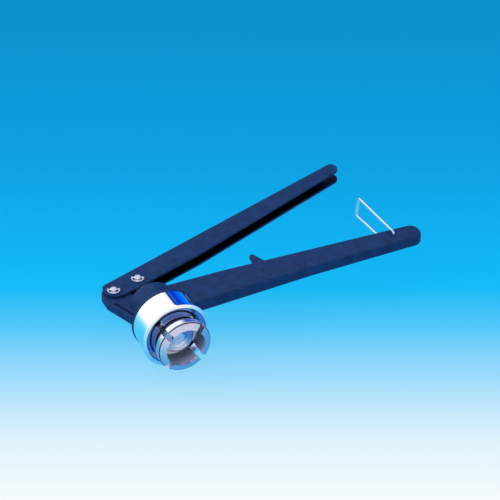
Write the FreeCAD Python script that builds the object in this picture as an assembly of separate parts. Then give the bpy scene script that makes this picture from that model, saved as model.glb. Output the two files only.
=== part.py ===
import FreeCAD, Part
import math
import os

# Hand decapper for crimped vial seals, in millimetres.
# The origin is the centre of the open mouth. The head axis runs rearwards along +Y, so the mouth opens to -Y.
# The fixed handle runs out along +X and the hinge pins stand along Z. The handles are drawn open.

V = FreeCAD.Vector
AXIS_Y = V(0, 1, 0)
AXIS_Z = V(0, 0, 1)
CORNER_SHARE = 1 - math.sqrt(0.5)

# How far a cutting body runs past the surface it opens, and how near an edge must lie to count as on a face
cut_overrun = 1.0
edge_margin = 0.1

# Mouth and jaws
mouth_radius = 12.3
lip_width = 4.6
lip_length = 2.2
lip_face_width = 3.3
lip_face_setback = 1.2
lip_step = 0.4
nose_setback = 2.4
seal_undercut = 1.5
seal_pocket_wall = 0.8
seal_pocket_length = 13.0
pocket_slope_length = 1.0
jaw_head_length = 6.6
jaw_groove_length = 3.8
jaw_groove_depth = 1.4
jaw_slot_width = 3.7
neck_bead_height = 0.7
neck_bead_width = 0.8
neck_bead_place = 1.7
jaw_rim_thickness = 2.0
jaw_tail_length = 6.8
jaw_tail_wall = 2.0
rocker_length = 9.0
rocker_relief = 0.1
jaw_closing_angle = 5.5
jaw_edge_round = 0.35

# Elastic ring round the jaws' tails
jaw_ring_wire = 1.2
jaw_ring_place = 3.6
jaw_ring_groove_depth = 0.8
jaw_ring_side_gap = 0.1

# Collar
collar_length = 18.2
collar_lip_length = 7.3
collar_setback = 2.8
collar_wall = 1.5
collar_rim_height = 1.6
collar_rim_width = 2.2
collar_rim_round = 0.5
collar_face_slope = 0.9
collar_lip_bevel = 0.5
collar_side_gap = 0.6
rim_side_gap = 0.9
rim_front_gap = 0.3
rim_back_gap = 0.6
thread_gap = 0.1

# Plunger
pusher_mouth_gap = 2.6
pusher_setback = 10.0
pusher_thickness = 4.2
pusher_edge_bevel = 0.7
pusher_ring_depth = 0.4
pusher_ring_width = 1.1
pusher_ring_flank = 0.2
pusher_plain_rim = 0.6
pusher_plain_middle = 0.8
pusher_side_gap = 2.3
rod_radius = 4.0
rod_running_gap = 0.05
spreader_gap = 0.35
spreader_wall = 3.0
spreader_hub_wall = 2.0
spreader_lead = 2.2
spreader_nose_bevel = 1.0
spreader_end_gap = 0.3
spreader_hub_setback = 1.0
screw_thread_radius = 2.0
screw_head_radius = 3.8
screw_length = 14.0
screw_socket_width = 2.5
screw_socket_depth = 1.6
screw_sink = 0.4
screw_cone_length = 1.8
screw_seat_gap = 0.1
press_gap = 0.02

# Casting head and barrel
flange_overhang = 0.3
flange_thickness = 2.2
flange_edge_round = 0.8
tail_swing_gap = 1.3
tail_chamber_depth = 0.9
spreader_chamber_gap = 0.6
spring_floor_thickness = 2.0
spring_chamber_length = 13.8
spring_chamber_radius = 8.6
barrel_wall = 5.6
barrel_neck_length = 6.6
barrel_end_round = 2.6
neck_hollow_in = 0.9
neck_hollow_forward = 0.5

# Return spring
spring_wire = 1.1
spring_side_gap = 0.5
spring_turns = 4.0
spring_end_gap = 0.15

# Drive yoke
yoke_shoulder_gap = 0.3
yoke_shoulder_length = 3.0
yoke_shoulder_setback = 0.6
yoke_width = 9.0
yoke_end_margin = 4.6
yoke_rod_grip = 8.0
yoke_side_gap = 0.3
yoke_end_round = 3.1
cross_pin_radius = 1.0
cross_pin_setback = 0.4

# Pins and clips
pin_radius = 2.0
pin_running_gap = 0.05
pin_slot_gap = 0.1
pin_head_radius = 3.4
pin_head_thickness = 1.2
pin_head_round = 0.6
pin_end_length = 1.7
pin_end_bevel = 0.3
clip_radius = 3.9
clip_rim = 0.8
clip_thickness = 0.7
clip_tab_width = 1.5
clip_mouth_height = 1.35
clip_lift = 0.1
clip_groove_depth = 0.35
clip_groove_gap = 0.05
clip_tab_angles = (-90, 10, 170)
pivot_clip_turn = -20.0
drive_clip_turn = -25.0

# Linkage
drive_pin_behind_barrel = 17.4
pivot_offset = 17.8
pivot_drop = 4.8
opening_angle = 17.5
closing_swing = 18.0

# Moving handle, a pressed channel
channel_height = 8.7
sheet = 1.4
bend_radius = 2.0
channel_back = 9.2
channel_front = 6.9
channel_length = 184.6
channel_tip_width = 9.8
channel_start_reach = 5.2
channel_taper_start = 62.0
web_start = 7.6
web_end_margin = 8.5

# Side arm of the casting
arm_play = 0.3
arm_end_radius = 7.2
arm_front_place = 5.4
arm_root_left = -18.1
arm_bend_left = -25.3
arm_bend_place = 25.5
arm_inner_edge = -7.8
arm_inner_place = 26.0
arm_yoke_side = -5.4
arm_groove_width = 1.8
arm_groove_depth = 1.2
arm_groove_inset = 2.2
arm_groove_round = 0.6
arm_groove_start = 6.6
arm_groove_end = 23.3
arm_edge_round = 0.6

# Fixed handle
handle_end = 174.9
handle_front_root = 1.6
handle_front_mid = 5.8
handle_front_bend = 100.0
handle_front_end = 6.4
handle_rear_root = 25.1
handle_root_rise = 0.3
handle_rear_mid = 21.8
handle_rear_end = 19.4
handle_shoulder = 48.0
handle_waist = 122.0
handle_root_thickness = 8.6
handle_end_thickness = 6.8
handle_corner_radius = 5.7
handle_edge_round = 1.2
handle_root_place = 10.0

# Lug on the rear edge
lug_place = 73.4
lug_thickness = 3.2
lug_tip_width = 3.4
lug_base_width = 6.0
lug_lean = 1.2
lug_tip_place = 35.25
lug_root_place = 21.3
lug_foot_place = 22.5
lug_foot_slope = 1.0
lug_foot_fall = 2.5
lug_foot_bow = 2.4
lug_foot_bow_fall = 5.6
lug_edge_round = 0.9

# Wire bail
bail_wire_radius = 0.85
bail_hinge_from_end = 17.2
bail_hinge_place = 13.2
bail_length = 40.2
bail_lean = 5.4
bail_skew_aside = 1.0
bail_skew_out = 1.3
bail_half_width = 6.5
bail_bend_radius = 1.9
bail_end_reach = 2.2
bail_bore_gap = 0.05

# Stations along the head axis, from the mouth rearwards
collar_front = jaw_head_length + jaw_groove_length + collar_setback
rim_front = collar_front + collar_lip_length + rim_front_gap
rim_back = rim_front + jaw_rim_thickness
boss_front = rim_back + rim_back_gap
flange_front = collar_front + collar_length
tail_end = rim_back + jaw_tail_length
rocker_place = (rim_front + rim_back) / 2

# Radii of the head, all from the mouth: the pusher passes through it and the seal's pocket lies outside it
pusher_radius = mouth_radius - pusher_mouth_gap
jaw_bore_radius = pusher_radius + pusher_side_gap
jaw_tail_radius = jaw_bore_radius + jaw_tail_wall
seal_pocket_radius = mouth_radius + seal_undercut
jaw_groove_radius = seal_pocket_radius + seal_pocket_wall
jaw_shank_radius = jaw_groove_radius + jaw_groove_depth
jaw_head_radius = mouth_radius + lip_width
collar_lip_radius = jaw_shank_radius + collar_side_gap
rocker_radius = jaw_rim_thickness / 2 - rocker_relief
rocker_reach = collar_lip_radius
thread_radius = rocker_reach + rocker_radius + rim_side_gap
collar_radius = thread_radius + collar_wall
flange_radius = collar_radius + flange_overhang
tail_chamber_radius = jaw_tail_radius + tail_swing_gap

# Linkage of the pins: the drive pin pushes the plunger forward as the handle closes
lever = math.hypot(pivot_offset, pivot_drop)
lever_rest = math.degrees(math.atan2(pivot_drop, pivot_offset))
plunger_travel = lever * (
    math.sin(math.radians(lever_rest)) - math.sin(math.radians(lever_rest - closing_swing))
)
drive_pin_drift = lever * (1 - math.cos(math.radians(lever_rest)))

# Spreader cone: it lifts the tails by the angle that closes the lips
tail_lift = (tail_end - rocker_place) * math.sin(math.radians(jaw_closing_angle))
spreader_slope = tail_lift / plunger_travel
spreader_tail_radius = jaw_bore_radius - spreader_gap
spreader_front = rim_front - spreader_lead
spreader_back = tail_end + plunger_travel + spreader_end_gap
spreader_front_radius = spreader_tail_radius - (tail_end - spreader_front) * spreader_slope
spreader_back_radius = spreader_tail_radius + (spreader_back - tail_end) * spreader_slope

spreader_chamber_radius = spreader_back_radius + spreader_chamber_gap
spreader_chamber_back = spreader_back + spreader_end_gap
spring_floor_back = spreader_chamber_back + spring_floor_thickness
barrel_back = spring_floor_back + spring_chamber_length
barrel_radius = spring_chamber_radius + barrel_wall

drive_pin_at = V(0, barrel_back + drive_pin_behind_barrel, 0)
pivot_at = V(-pivot_offset, drive_pin_at.y - pivot_drop, 0)
arm_half = channel_height / 2 - sheet - arm_play
yoke_half = channel_height / 2 - sheet - yoke_side_gap
yoke_front = barrel_back - yoke_shoulder_setback - yoke_shoulder_length
yoke_shoulder_radius = spring_chamber_radius - yoke_shoulder_gap
rod_back = yoke_front + yoke_rod_grip
cross_pin_place = yoke_front + yoke_shoulder_length / 2

# Clips and the pin grooves they sit in
clip_low = channel_height / 2 + clip_lift
clip_high = clip_low + clip_thickness
clip_seat_radius = pin_radius - clip_groove_depth


def handle_y(distance):
    """Station of a point that lies this far behind the front of the flange."""
    return flange_front + distance


def wire_of(start, steps):
    """Closed wire from start. A step is an end point, or a pair (point on the arc, end point)."""
    edges = []
    at = start
    for step in list(steps) + [start]:
        if isinstance(step, tuple):
            edges.append(Part.Arc(at, step[0], step[1]).toShape())
            at = step[1]
        elif step.distanceToPoint(at) > 1e-6:
            edges.append(Part.LineSegment(at, step).toShape())
            at = step
    return Part.Wire(edges)


def turned(points):
    """Solid turned about the head axis from (radius, station) points."""
    outline = [V(radius, station, 0) for radius, station in points]
    return Part.Face(wire_of(outline[0], outline[1:])).revolve(V(0, 0, 0), AXIS_Y, 360)


def plate(wire, low, high):
    """Flat plate between two heights from a closed wire drawn at height 0."""
    face = Part.Face(wire)
    face.translate(V(0, 0, low))
    return face.extrude(V(0, 0, high - low))


def disc_z(radius, low, high, at):
    """Upright cylinder between two heights."""
    return Part.makeCylinder(radius, high - low, V(at.x, at.y, low), AXIS_Z)


def disc_y(radius, front, back):
    """Cylinder on the head axis between two stations."""
    return Part.makeCylinder(radius, back - front, V(0, front, 0), AXIS_Y)


def rounded_corner(corner, before, after, radius):
    """Tangent points and middle of an arc that rounds the corner between two neighbours."""
    to_before = (before - corner).normalize()
    to_after = (after - corner).normalize()
    half = to_before.getAngle(to_after) / 2
    cut = radius / math.tan(half)
    middle = (to_before + to_after).normalize() * (radius / math.sin(half) - radius)
    return corner + to_before * cut, corner + middle, corner + to_after * cut


def rounded_outline(corners):
    """Closed wire through (point, radius) corners. A radius of 0 leaves the corner sharp."""
    edges = []
    ends = []
    for index, (corner, radius) in enumerate(corners):
        before = corners[index - 1][0]
        after = corners[(index + 1) % len(corners)][0]
        if radius > 0:
            first, middle, last = rounded_corner(corner, before, after, radius)
            edges.append(Part.Arc(first, middle, last).toShape())
            ends.append((first, last))
        else:
            edges.append(None)
            ends.append((corner, corner))
    path = []
    for index, edge in enumerate(edges):
        if edge is not None:
            path.append(edge)
        leave = ends[index][1]
        arrive = ends[(index + 1) % len(ends)][0]
        if leave.distanceToPoint(arrive) > 1e-6:
            path.append(Part.LineSegment(leave, arrive).toShape())
    return Part.Wire(path)


def edges_where(shape, test):
    """Edges of the shape whose middle point and edge pass the test."""
    found = []
    for edge in shape.Edges:
        middle = edge.valueAt((edge.FirstParameter + edge.LastParameter) / 2)
        if test(middle, edge):
            found.append(edge)
    return found


def make_jaws():
    """Four jaws cut from one turned ring by two crossed slots, each with a straight rocker on its rim."""
    pocket_back = lip_length + pocket_slope_length + seal_pocket_length
    shank_front = jaw_head_length + jaw_groove_length
    bead_front = jaw_head_length + neck_bead_place
    bead_back = bead_front + neck_bead_width
    bead_radius = jaw_groove_radius + neck_bead_height
    ring_groove_radius = jaw_tail_radius - jaw_ring_groove_depth
    groove_middle = rim_back + jaw_ring_place
    groove_half = jaw_ring_wire / 2 + jaw_ring_side_gap
    lip_edge = mouth_radius + lip_face_width
    ring = turned([
        (mouth_radius, 0),
        (lip_edge, lip_face_setback),
        (lip_edge, lip_face_setback + lip_step),
        (jaw_head_radius, nose_setback),
        (jaw_head_radius, jaw_head_length - jaw_edge_round),
        (jaw_head_radius - jaw_edge_round, jaw_head_length),
        (jaw_groove_radius, jaw_head_length),
        (jaw_groove_radius, bead_front),
        (bead_radius, bead_front),
        (bead_radius, bead_back),
        (jaw_groove_radius, bead_back),
        (jaw_groove_radius, shank_front),
        (jaw_shank_radius, shank_front),
        (jaw_shank_radius, rim_front),
        (rocker_reach, rim_front),
        (rocker_reach, rim_back),
        (jaw_tail_radius, rim_back),
        (jaw_tail_radius, groove_middle - groove_half),
        (ring_groove_radius, groove_middle - groove_half),
        (ring_groove_radius, groove_middle + groove_half),
        (jaw_tail_radius, groove_middle + groove_half),
        (jaw_tail_radius, tail_end),
        (jaw_bore_radius, tail_end),
        (jaw_bore_radius, pocket_back),
        (seal_pocket_radius, pocket_back - pocket_slope_length),
        (seal_pocket_radius, lip_length + pocket_slope_length),
        (mouth_radius, lip_length),
    ])
    turns = {"jaw_right": 0, "jaw_top": -90, "jaw_left": 180, "jaw_bottom": 90}
    rockers = []
    for turn in turns.values():
        rocker = Part.makeCylinder(
            rocker_radius, rocker_length, V(rocker_reach, rocker_place, -rocker_length / 2), AXIS_Z
        )
        rocker.rotate(V(0, 0, 0), AXIS_Y, turn)
        rockers.append(rocker)
    ring = ring.fuse(rockers)
    slot_reach = 2 * thread_radius
    slots = []
    for turn in (45, 135):
        slot = Part.makeBox(
            2 * slot_reach, tail_end + 2 * cut_overrun, jaw_slot_width,
            V(-slot_reach, -cut_overrun, -jaw_slot_width / 2),
        )
        slot.rotate(V(0, 0, 0), AXIS_Y, turn)
        slots.append(slot)
    segments = ring.cut(slots).Solids
    jaws = {}
    for name, turn in turns.items():
        toward = FreeCAD.Rotation(AXIS_Y, turn).multVec(V(1, 0, 0))
        jaws[name] = max(segments, key=lambda solid: solid.CenterOfMass.dot(toward))
    return jaws


def make_jaw_ring():
    """Elastic ring in the grooves of the jaws' tails."""
    ring_radius = jaw_tail_radius - jaw_ring_groove_depth + jaw_ring_wire / 2 + jaw_ring_side_gap
    middle = rim_back + jaw_ring_place
    return Part.makeTorus(ring_radius, jaw_ring_wire / 2, V(0, middle, 0), AXIS_Y)


def make_collar():
    """Polished ring: a skirt over the boss, a raised front rim and a lip that holds the jaws' rims."""
    lip_back = collar_front + collar_lip_length
    rim_radius = collar_radius + collar_rim_height
    rim_end = collar_front + collar_rim_width
    corner = collar_rim_round * CORNER_SHARE
    face_edge = collar_front + collar_face_slope
    outline = wire_of(V(collar_lip_radius + collar_lip_bevel, face_edge, 0), [
        V(rim_radius - collar_rim_round, collar_front, 0),
        (V(rim_radius - corner, collar_front + corner, 0), V(rim_radius, collar_front + collar_rim_round, 0)),
        V(rim_radius, rim_end - collar_rim_round, 0),
        (V(rim_radius - corner, rim_end - corner, 0), V(rim_radius - collar_rim_round, rim_end, 0)),
        V(collar_radius, rim_end, 0),
        V(collar_radius, flange_front - collar_lip_bevel, 0),
        V(collar_radius - collar_lip_bevel, flange_front, 0),
        V(thread_radius, flange_front, 0),
        V(thread_radius, lip_back, 0),
        V(collar_lip_radius, lip_back, 0),
        V(collar_lip_radius, face_edge + collar_lip_bevel, 0),
    ])
    return Part.Face(outline).revolve(V(0, 0, 0), AXIS_Y, 360)


def make_head():
    """Turned head of the casting: boss, flange, flared neck and barrel, still without its bores."""
    boss_radius = thread_radius - thread_gap
    neck_front = flange_front + flange_thickness
    neck_back = neck_front + barrel_neck_length
    shoulder = V(flange_radius - flange_edge_round, neck_front, 0)
    waist = V(barrel_radius, neck_back, 0)
    hollow = (shoulder + waist) * 0.5 - V(neck_hollow_in, neck_hollow_forward, 0)
    rim_corner = flange_edge_round * CORNER_SHARE
    end_corner = barrel_end_round * CORNER_SHARE
    outline = wire_of(V(0, boss_front, 0), [
        V(boss_radius, boss_front, 0),
        V(boss_radius, flange_front, 0),
        V(flange_radius, flange_front, 0),
        V(flange_radius, neck_front - flange_edge_round, 0),
        (V(flange_radius - rim_corner, neck_front - rim_corner, 0), shoulder),
        (hollow, waist),
        V(barrel_radius, barrel_back - barrel_end_round, 0),
        (
            V(barrel_radius - end_corner, barrel_back - end_corner, 0),
            V(barrel_radius - barrel_end_round, barrel_back, 0),
        ),
        V(0, barrel_back, 0),
    ])
    return Part.Face(outline).revolve(V(0, 0, 0), AXIS_Y, 360)


def make_blade():
    """Fixed handle: a tapering bar with rounded edges and a rounded end."""
    corners = [
        (V(handle_root_place, handle_y(handle_front_root), 0), 0),
        (V(handle_front_bend, handle_y(handle_front_mid), 0), 0),
        (V(handle_end, handle_y(handle_front_end), 0), handle_corner_radius),
        (V(handle_end, handle_y(handle_rear_end), 0), handle_corner_radius),
        (V(handle_waist, handle_y(handle_rear_mid), 0), 0),
        (V(handle_shoulder, handle_y(handle_rear_root), 0), 0),
        (V(handle_root_place, handle_y(handle_rear_root + handle_root_rise), 0), 0),
    ]
    tall = handle_root_thickness
    blade = plate(rounded_outline(corners), -tall, tall)
    root_half = handle_root_thickness / 2
    end_half = handle_end_thickness / 2
    side = Part.Face(Part.makePolygon([
        V(0, 0, -root_half),
        V(handle_end, 0, -end_half),
        V(handle_end, 0, end_half),
        V(0, 0, root_half),
        V(0, 0, -root_half),
    ]))
    blade = blade.common(side.extrude(V(0, 2 * handle_end, 0)))
    outer_edges = edges_where(
        blade,
        lambda middle, edge: abs(middle.z) > end_half - edge_margin
        and middle.x > handle_root_place + edge_margin,
    )
    return blade.makeFillet(handle_edge_round, outer_edges)


def make_lug():
    """Lug on the rear edge: a round-tipped finger with a fillet towards the handle's end."""
    tip = handle_y(lug_tip_place)
    base = handle_y(lug_root_place)
    tip_round = lug_tip_width / 2
    left = lug_place - tip_round
    right = lug_place + tip_round
    tip_centre = tip - tip_round
    outline = wire_of(V(left - lug_lean, base, 0), [
        V(left, tip_centre, 0),
        (V(lug_place, tip, 0), V(right, tip_centre, 0)),
        V(right + lug_foot_slope, tip_centre - lug_foot_fall, 0),
        (
            V(right + lug_foot_bow, tip_centre - lug_foot_bow_fall, 0),
            V(right + lug_base_width, handle_y(lug_foot_place), 0),
        ),
        V(right + lug_base_width, base, 0),
    ])
    half = lug_thickness / 2
    lug = plate(outline, -half, half)
    rim = edges_where(
        lug,
        lambda middle, edge: abs(middle.z) > half - edge_margin and middle.y > base + edge_margin,
    )
    return lug.makeFillet(lug_edge_round, rim)


def make_arm():
    """Flat side arm from the barrel to the pivot, rounded at its end."""
    bend = V(arm_bend_left, handle_y(arm_bend_place), 0)
    root = V(arm_root_left, handle_y(arm_front_place), 0)
    inner = V(arm_inner_edge, handle_y(arm_inner_place), 0)
    from_pivot = inner - pivot_at
    reach = from_pivot.Length
    side_angle = math.atan2(from_pivot.y, from_pivot.x) + math.acos(arm_end_radius / reach)
    right = pivot_at + V(math.cos(side_angle), math.sin(side_angle), 0) * arm_end_radius
    left = pivot_at + V(-arm_end_radius, 0, 0)
    top = pivot_at + V(0, arm_end_radius, 0)
    outline = wire_of(V(0, handle_y(arm_front_place), 0), [
        root,
        bend,
        left,
        (top, right),
        inner,
        V(arm_yoke_side, inner.y, 0),
        V(arm_yoke_side, barrel_back - barrel_end_round, 0),
    ])
    arm = plate(outline, -arm_half, arm_half)
    rim = edges_where(
        arm,
        lambda middle, edge: abs(middle.z) > arm_half - edge_margin
        and middle.x < arm_inner_edge - edge_margin,
    )
    return arm.makeFillet(arm_edge_round, rim)


def make_casting():
    """The whole body casting: head, barrel, side arm, fixed handle and lug, with its bores."""
    casting = make_head().fuse([make_blade().fuse(make_lug()), make_arm()])
    pin_bore = pin_radius + press_gap
    bail_bore = bail_wire_radius + bail_bore_gap
    groove_slope = (arm_bend_left - arm_root_left) / (arm_bend_place - arm_front_place)
    groove_left = arm_root_left + arm_groove_inset
    groove_corners = []
    for place, shift in (
        (arm_groove_start, 0),
        (arm_groove_end, 0),
        (arm_groove_end, arm_groove_width),
        (arm_groove_start, arm_groove_width),
    ):
        across = groove_left + groove_slope * (place - arm_front_place) + shift
        groove_corners.append((V(across, handle_y(place), 0), arm_groove_round))
    groove = plate(rounded_outline(groove_corners), arm_half - arm_groove_depth, arm_half + cut_overrun)
    bail_hinge = V(handle_end - bail_hinge_from_end, handle_y(bail_hinge_place), 0)
    cuts = [
        disc_y(tail_chamber_radius, boss_front - cut_overrun, tail_end + tail_chamber_depth),
        disc_y(spreader_chamber_radius, boss_front - cut_overrun, spreader_chamber_back),
        disc_y(rod_radius + rod_running_gap, boss_front - cut_overrun, barrel_back + cut_overrun),
        disc_y(spring_chamber_radius, spring_floor_back, barrel_back + cut_overrun),
        disc_z(pin_bore, -channel_height, channel_height, pivot_at),
        disc_z(bail_bore, -channel_height, channel_height, bail_hinge),
        groove,
    ]
    return casting.cut(cuts).removeSplitter()


def make_pusher():
    """Pusher disc with turned rings on its face and a countersink for its screw."""
    back = pusher_setback + pusher_thickness
    front = pusher_setback
    ring_floor = front + pusher_ring_depth
    bore = screw_thread_radius + press_gap
    points = [
        (bore, back),
        (bore, front + screw_sink + screw_cone_length),
        (screw_head_radius, front + screw_sink),
        (screw_head_radius, front),
    ]
    radius = screw_head_radius + pusher_plain_middle
    while radius + pusher_ring_width < pusher_radius - pusher_edge_bevel - pusher_plain_rim:
        points += [
            (radius, front),
            (radius + pusher_ring_flank, ring_floor),
            (radius + pusher_ring_width - pusher_ring_flank, ring_floor),
            (radius + pusher_ring_width, front),
        ]
        radius += 2 * pusher_ring_width
    points += [
        (pusher_radius - pusher_edge_bevel, front),
        (pusher_radius, front + pusher_edge_bevel),
        (pusher_radius, back),
    ]
    return turned(points)


def make_pusher_screw():
    """Countersunk socket screw through the pusher into the rod."""
    front = pusher_setback + screw_sink
    screw = turned([
        (0, front),
        (screw_head_radius - screw_seat_gap, front),
        (screw_thread_radius, front + screw_cone_length - screw_seat_gap),
        (screw_thread_radius, front + screw_length),
        (0, front + screw_length),
    ])
    corners = [
        V(
            screw_socket_width / 2 * math.cos(math.radians(60 * turn)),
            front,
            screw_socket_width / 2 * math.sin(math.radians(60 * turn)),
        )
        for turn in range(7)
    ]
    socket = Part.Face(Part.makePolygon(corners)).extrude(V(0, screw_socket_depth, 0))
    return screw.cut(socket)


def make_spreader():
    """Hollow cone on the rod that spreads the jaws' tails as it moves forward."""
    bore = rod_radius + press_gap
    hub_radius = bore + spreader_hub_wall
    hub_back = spreader_back - spreader_hub_setback
    hollow_radius = spreader_back_radius - spreader_wall
    hollow_front = spreader_front + spreader_wall
    return turned([
        (bore, spreader_front),
        (spreader_front_radius - spreader_nose_bevel, spreader_front),
        (spreader_front_radius, spreader_front + spreader_nose_bevel),
        (spreader_back_radius, spreader_back),
        (hollow_radius, spreader_back),
        (hollow_radius, hollow_front),
        (hub_radius, hollow_front),
        (hub_radius, hub_back),
        (bore, hub_back),
    ])


def make_rod():
    """Plunger rod, tapped at its front for the pusher's screw and drilled for the cross pin."""
    front = pusher_setback + pusher_thickness
    rod = disc_y(rod_radius, front, rod_back)
    thread = disc_y(screw_thread_radius + press_gap, front - cut_overrun, front + screw_length)
    cross_reach = rod_radius + cut_overrun
    cross = disc_z(cross_pin_radius + press_gap, -cross_reach, cross_reach, V(0, cross_pin_place, 0))
    return rod.cut([thread, cross])


def make_yoke():
    """Yoke: a round shoulder that guides in the barrel and a flat tongue slotted for the drive pin."""
    shoulder = disc_y(yoke_shoulder_radius, yoke_front, yoke_front + yoke_shoulder_length)
    tongue_back = drive_pin_at.y + yoke_end_margin
    tongue_front = cross_pin_place
    half = yoke_width / 2
    outline = rounded_outline([
        (V(-half, tongue_front, 0), 0),
        (V(half, tongue_front, 0), 0),
        (V(half, tongue_back, 0), yoke_end_round),
        (V(-half, tongue_back, 0), yoke_end_round),
    ])
    tongue = plate(outline, -yoke_half, yoke_half)
    slot_radius = pin_radius + pin_slot_gap
    slot_low = -yoke_half - cut_overrun
    slot_high = yoke_half + cut_overrun
    slot_end = drive_pin_at + V(drive_pin_drift, 0, 0)
    slot = disc_z(slot_radius, slot_low, slot_high, drive_pin_at)
    slot = slot.fuse(disc_z(slot_radius, slot_low, slot_high, slot_end))
    slot = slot.fuse(Part.makeBox(
        drive_pin_drift, 2 * slot_radius, slot_high - slot_low,
        V(0, drive_pin_at.y - slot_radius, slot_low),
    ))
    rod_bore = disc_y(rod_radius + press_gap, yoke_front - cut_overrun, rod_back)
    cross_reach = yoke_shoulder_radius + cut_overrun
    cross = disc_z(cross_pin_radius + press_gap, -cross_reach, cross_reach, V(0, cross_pin_place, 0))
    return shoulder.fuse(tongue).cut([slot, rod_bore, cross]).removeSplitter()


def make_cross_pin():
    """Pin through the yoke's shoulder and the rod."""
    half = yoke_shoulder_radius - cross_pin_setback
    return disc_z(cross_pin_radius, -half, half, V(0, cross_pin_place, 0))


def make_return_spring():
    """Round-wire compression spring between the casting's spring floor and the yoke's shoulder."""
    coil_radius = spring_chamber_radius - spring_side_gap - spring_wire / 2
    front = spring_floor_back + spring_wire / 2 + spring_end_gap
    length = yoke_front - spring_floor_back - spring_wire - 2 * spring_end_gap
    helix = Part.makeHelix(length / spring_turns, length, coil_radius)
    section = Part.Wire(Part.makeCircle(spring_wire / 2, V(coil_radius, 0, 0), V(0, 1, 0)))
    spring = Part.Wire(helix.Edges).makePipeShell([section], True, True)
    spring.rotate(V(0, 0, 0), V(1, 0, 0), -90)
    spring.translate(V(0, front, 0))
    return spring


def make_channel():
    """Moving handle: a bent channel whose flanges are trimmed to a tapering outline with round ends."""
    half = channel_height / 2
    inner = half - sheet
    inner_bend = bend_radius - sheet
    outer_corner = bend_radius * CORNER_SHARE
    inner_corner = inner_bend * CORNER_SHARE
    depth = channel_front + channel_back
    low = -2 * depth
    back = channel_back
    web_inside = back - sheet

    def at(across, height):
        return V(0, across, height)

    section = wire_of(at(low, -half), [
        at(back - bend_radius, -half),
        (at(back - outer_corner, -half + outer_corner), at(back, -half + bend_radius)),
        at(back, half - bend_radius),
        (at(back - outer_corner, half - outer_corner), at(back - bend_radius, half)),
        at(low, half),
        at(low, inner),
        at(web_inside - inner_bend, inner),
        (at(web_inside - inner_corner, inner - inner_corner), at(web_inside, inner - inner_bend)),
        at(web_inside, -inner + inner_bend),
        (at(web_inside - inner_corner, -inner + inner_corner), at(web_inside - inner_bend, -inner)),
        at(low, -inner),
    ])
    folded = Part.Face(section).extrude(V(channel_length + 2 * depth, 0, 0))
    folded.translate(V(-depth, 0, 0))
    tip = channel_length
    tip_front = channel_back - channel_tip_width
    round_end = channel_tip_width / 2
    centre_tip = V(tip - round_end, channel_back - round_end, 0)
    start_radius = depth / 2
    start_centre = V(start_radius - channel_start_reach, channel_back - start_radius, 0)
    outline = wire_of(start_centre + V(0, start_radius, 0), [
        (start_centre - V(start_radius, 0, 0), start_centre - V(0, start_radius, 0)),
        V(channel_taper_start, -channel_front, 0),
        V(tip - round_end, tip_front, 0),
        (centre_tip + V(round_end, 0, 0), V(tip - round_end, channel_back, 0)),
    ])
    blank = plate(outline, -half - cut_overrun, half + cut_overrun)
    channel = folded.common(blank)
    web_gap_front = Part.makeBox(depth + web_start, 3 * depth, 2 * inner, V(-depth, -depth, -inner))
    web_end = channel_length - web_end_margin
    web_gap_back = Part.makeBox(depth, 3 * depth, 2 * inner, V(web_end, -depth, -inner))
    channel = channel.cut([web_gap_front, web_gap_back])
    channel.rotate(V(0, 0, 0), AXIS_Z, opening_angle)
    channel.translate(pivot_at)
    bore_reach = half + cut_overrun
    pivot_bore = disc_z(pin_radius + pin_running_gap, -bore_reach, bore_reach, pivot_at)
    drive_bore = disc_z(pin_radius + press_gap, -bore_reach, bore_reach, drive_pin_at)
    return channel.cut([pivot_bore, drive_bore]).removeSplitter()


def make_pin(at):
    """Headed pin with a clip groove near its upper end."""
    half = channel_height / 2
    head_top = -half - clip_lift
    top = clip_high + pin_end_length - clip_thickness
    pin = disc_z(pin_radius, head_top, top, at)
    end = edges_where(pin, lambda middle, edge: middle.z > top - edge_margin)
    pin = pin.makeChamfer(pin_end_bevel, end)
    head_low = head_top - pin_head_thickness
    head = disc_z(pin_head_radius, head_low, head_top, at)
    rim = edges_where(
        head,
        lambda middle, edge: middle.z < head_low + edge_margin and edge.Length > pin_head_radius,
    )
    head = head.makeFillet(pin_head_round, rim)
    groove_low = clip_low - clip_groove_gap
    groove_high = clip_high + clip_groove_gap
    groove = disc_z(pin_head_radius, groove_low, groove_high, at).cut(
        disc_z(clip_seat_radius, groove_low, groove_high, at)
    )
    return pin.fuse(head).removeSplitter().cut(groove)


def make_clip(at, turn):
    """Open retaining clip: a rim with three tabs that reach into the pin's groove."""
    centre = V(0, 0, 0)
    inner = clip_radius - clip_rim
    past_low = clip_low - cut_overrun
    past_high = clip_high + cut_overrun
    clip = disc_z(clip_radius, clip_low, clip_high, centre).cut(disc_z(inner, past_low, past_high, centre))
    for angle in clip_tab_angles:
        tab = Part.makeBox(
            inner + edge_margin, clip_tab_width, clip_thickness, V(0, -clip_tab_width / 2, clip_low)
        )
        tab.rotate(centre, AXIS_Z, angle)
        clip = clip.fuse(tab)
    mouth = Part.makeBox(
        2 * clip_radius, clip_radius, past_high - past_low, V(-clip_radius, clip_mouth_height, past_low)
    )
    seat = disc_z(clip_seat_radius + press_gap, past_low, past_high, centre)
    clip = clip.removeSplitter().cut([mouth, seat])
    clip.rotate(V(0, 0, 0), AXIS_Z, turn)
    clip.translate(at)
    return clip


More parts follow.
